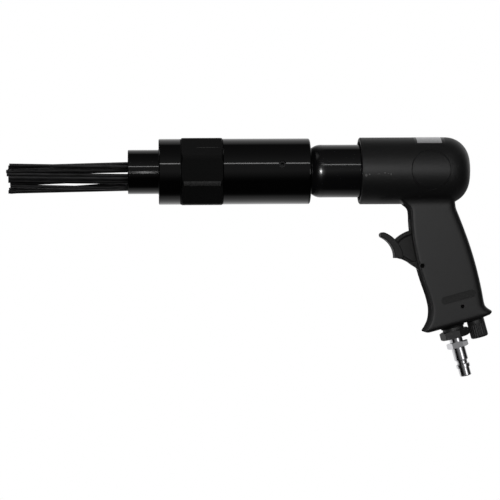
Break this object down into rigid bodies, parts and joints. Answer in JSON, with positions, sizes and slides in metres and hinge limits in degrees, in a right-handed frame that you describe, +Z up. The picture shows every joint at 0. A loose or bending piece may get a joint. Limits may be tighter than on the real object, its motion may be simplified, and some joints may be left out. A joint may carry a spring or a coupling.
{
  "type": "pneumatic needle scaler",
  "caption": "Hand-held pneumatic needle scaler: pistol grip with lever trigger, air regulator and plug, hammer barrel, and a bundle of steel needles out of a round nose.",
  "frame": {"origin": "on the barrel axis at the front edge of the nose tube", "axes": "+X along the barrel to the rear, +Y to the tool's right-hand side when it is held with the needles pointing away, +Z up, away from the grip"},
  "size_m": [0.4126, 0.057, 0.2051],
  "materials": {
    "black_steel": "gloss",
    "black_alloy": "satin",
    "needle_steel": "matte",
    "bright_steel": "satin",
    "bronze": "satin",
    "rubber": "matte",
    "chrome": "polished"
  },
  "bodies": {
    "housing": {"nose_tube": "black_steel", "front_sleeve": "black_steel", "rear_tube": "black_steel", "lock_screw": "bright_steel", "hammer_cylinder": "black_steel", "anvil_bushing": "bronze", "anvil_buffer": "rubber", "valve_plate": "bright_steel", "valve_cap": "bright_steel", "valve_dowel": "bright_steel", "spring_washer": "bright_steel", "pistol_housing": "black_alloy", "trigger_pin": "bright_steel", "throttle_bushing": "bronze", "regulator_pin": "bright_steel", "inlet_bushing": "black_steel", "inlet_washer": "rubber", "inlet_strainer": "bright_steel", "air_plug": "chrome", "return_spring": "bright_steel", "throttle_spring": "bright_steel"},
    "needle_pack": {"needle_holder": "bright_steel", "needle_01": "needle_steel", "needle_02": "needle_steel", "needle_03": "needle_steel", "needle_04": "needle_steel", "needle_05": "needle_steel", "needle_06": "needle_steel", "needle_07": "needle_steel", "needle_08": "needle_steel", "needle_09": "needle_steel", "needle_10": "needle_steel", "needle_11": "needle_steel", "needle_12": "needle_steel", "needle_13": "needle_steel", "needle_14": "needle_steel", "needle_15": "needle_steel", "needle_16": "needle_steel", "needle_17": "needle_steel", "needle_18": "needle_steel", "needle_19": "needle_steel"},
    "anvil": {"anvil": "bright_steel"},
    "piston": {"piston": "bright_steel"},
    "valve_disc": {"valve_disc": "bright_steel"},
    "trigger": {"trigger": "black_alloy"},
    "throttle": {"throttle_stem": "bright_steel", "throttle_seal": "rubber"},
    "regulator": {"regulator": "black_steel", "regulator_seal": "rubber"}
  },
  "joints": [
    {"name": "needle_stroke", "type": "slide", "parent": "housing", "child": "needle_pack", "axis": [-1, 0, 0], "range_m": [0, 0.008], "stiffness_N_per_m": 2000, "deforming": ["return_spring"]},
    {"name": "anvil_slide", "type": "slide", "parent": "housing", "child": "anvil", "axis": [-1, 0, 0], "range_m": [0, 0.008]},
    {"name": "piston_slide", "type": "slide", "parent": "housing", "child": "piston", "axis": [-1, 0, 0], "range_m": [0, 0.0451]},
    {"name": "valve_disc_slide", "type": "slide", "parent": "housing", "child": "valve_disc", "axis": [1, 0, 0], "range_m": [0, 0.0008]},
    {"name": "trigger_pivot", "type": "hinge", "parent": "housing", "child": "trigger", "pos_m": [0.2491, 0, -0.0812], "axis": [0, 1, 0], "range_deg": [0, 14], "stiffness_Nm_per_rad": 0.6},
    {"name": "throttle_slide", "type": "slide", "parent": "housing", "child": "throttle", "axis": [1, 0, 0], "range_m": [0, 0.0032], "deforming": ["throttle_spring"]},
    {"name": "regulator_turn", "type": "hinge", "parent": "housing", "child": "regulator", "pos_m": [0.26021, 0, 0.00525], "axis": [0.2588, 0, -0.9659], "continuous": true}
  ],
  "couplings": [
    {"joint": "anvil_slide", "follows": "needle_stroke", "ratio": 1},
    {"joint": "throttle_slide", "follows": "trigger_pivot", "m_per_rad": 0.013}
  ]
}
